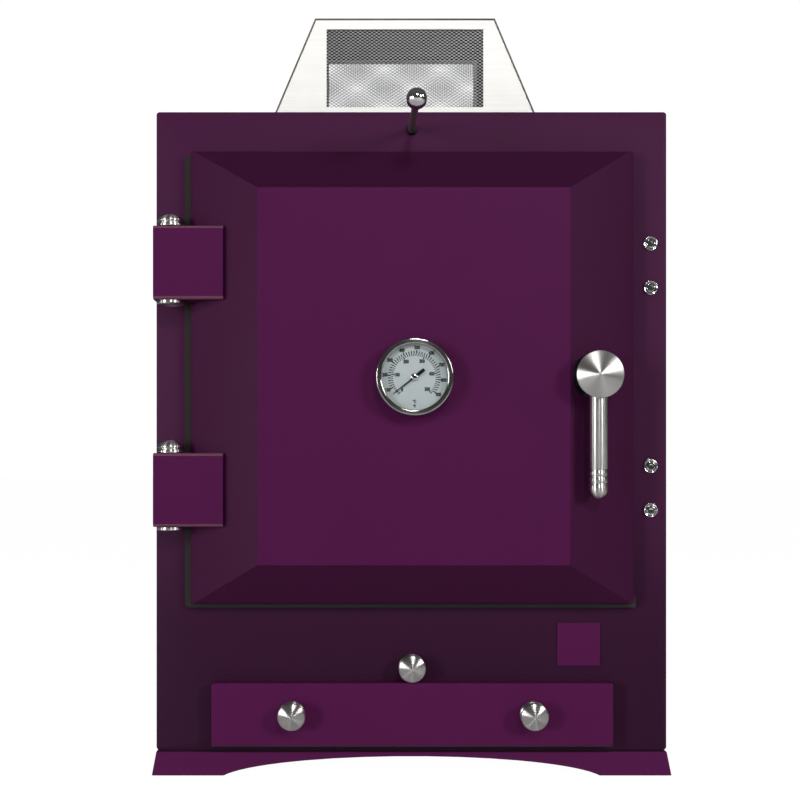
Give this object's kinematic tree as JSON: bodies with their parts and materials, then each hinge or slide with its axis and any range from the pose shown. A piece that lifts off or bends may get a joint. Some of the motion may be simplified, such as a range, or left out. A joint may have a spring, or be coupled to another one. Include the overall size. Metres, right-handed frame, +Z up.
{
  "type": "charcoal oven",
  "caption": "Insulated charcoal oven with a raised-panel hinged door, latch bar, thermometer, ash drawer, sliding air and flue dampers and a netted chimney hood on a skirt base.",
  "frame": {"origin": "middle of the base on the surface it stands on", "axes": "+Z up, the door faces -Y, the latch is on the +X side"},
  "size_m": [0.674, 0.7448, 1.0617],
  "materials": {
    "plum_paint": "plum powder coat, fine satin texture",
    "dark_plum_paint": "darker plum powder coat, fine satin texture",
    "stainless": "brushed stainless steel",
    "polished": "mirror polished steel",
    "sheet_steel": "plain sheet steel, dulled by heat",
    "cast_iron": "seasoned cast iron",
    "rope": "woven glass rope, grey",
    "wool": "mineral wool board",
    "dial_face": "pale grey printed enamel",
    "needle_black": "black enamel",
    "clear_glass": "clear gauge glass",
    "black_steel": "heat-proof black"
  },
  "bodies": {
    "cabinet": {"skirt": "plum_paint", "floor_pan": "sheet_steel", "fascia": "dark_plum_paint", "wrap": "dark_plum_paint", "back_panel": "dark_plum_paint", "deck": "sheet_steel", "fire_box": "sheet_steel", "insulation": "wool", "charcoal_grate": "cast_iron", "shelf_ladder_right": "stainless", "shelf_ladder_left": "stainless", "grill_lower": "cast_iron", "grill_upper": "cast_iron", "flue_pipe": "sheet_steel", "damper_bush": "stainless", "hood_front": "stainless", "hood_rear": "stainless", "hood_cover": "stainless", "net_front": "stainless", "net_rear": "stainless", "drawer_runner_left": "sheet_steel", "drawer_runner_right": "sheet_steel", "jamb_plate": "sheet_steel", "jamb_screw_1": "polished", "jamb_screw_2": "polished", "jamb_screw_3": "polished", "jamb_screw_4": "polished", "square_plate": "plum_paint", "hinge_knuckle_upper": "dark_plum_paint", "hinge_knuckle_lower": "dark_plum_paint"},
    "door": {"door_skin": "plum_paint", "door_pan": "sheet_steel", "door_insulation": "wool", "door_seal": "rope", "hinge_cover_upper": "plum_paint", "hinge_cover_lower": "plum_paint", "hinge_pin_upper": "stainless", "hinge_pin_lower": "stainless", "hinge_disc_upper": "stainless", "hinge_disc_lower": "stainless", "latch_boss": "black_steel", "gauge_case": "polished", "gauge_dial": "dial_face", "gauge_glass": "clear_glass"},
    "latch": {"latch_hub": "stainless", "latch_bar": "stainless", "latch_spindle": "stainless", "latch_tongue": "sheet_steel"},
    "needle": {"gauge_needle": "needle_black"},
    "damper": {"damper_gate": "sheet_steel", "damper_rod": "stainless", "damper_ball": "polished"},
    "air_slide": {"air_slide": "sheet_steel", "air_rod": "stainless", "air_knob": "stainless"},
    "ash_drawer": {"drawer_front": "plum_paint", "drawer_tray": "sheet_steel", "drawer_knob_left": "stainless", "drawer_knob_right": "stainless"}
  },
  "joints": [
    {"name": "door_hinge", "type": "hinge", "parent": "cabinet", "child": "door", "pos_m": [-0.308, -0.26265, 0.5145], "axis": [0, 0, -1], "range_deg": [0, 105]},
    {"name": "latch_turn", "type": "hinge", "parent": "door", "child": "latch", "pos_m": [0.227, -0.30665, 0.5135], "axis": [0, -1, 0], "range_deg": [0, 80]},
    {"name": "needle_turn", "type": "hinge", "parent": "door", "child": "needle", "pos_m": [0, -0.30665, 0.5107], "axis": [0, 1, 0], "range_deg": [0, 256]},
    {"name": "damper_slide", "type": "slide", "parent": "cabinet", "child": "damper", "axis": [0, 1, 0], "range_m": [0, 0.1]},
    {"name": "air_slide_pull", "type": "slide", "parent": "cabinet", "child": "air_slide", "axis": [0, -1, 0], "range_m": [0, 0.018]},
    {"name": "ash_drawer_pull", "type": "slide", "parent": "cabinet", "child": "ash_drawer", "axis": [0, -1, 0], "range_m": [0, 0.38]}
  ]
}
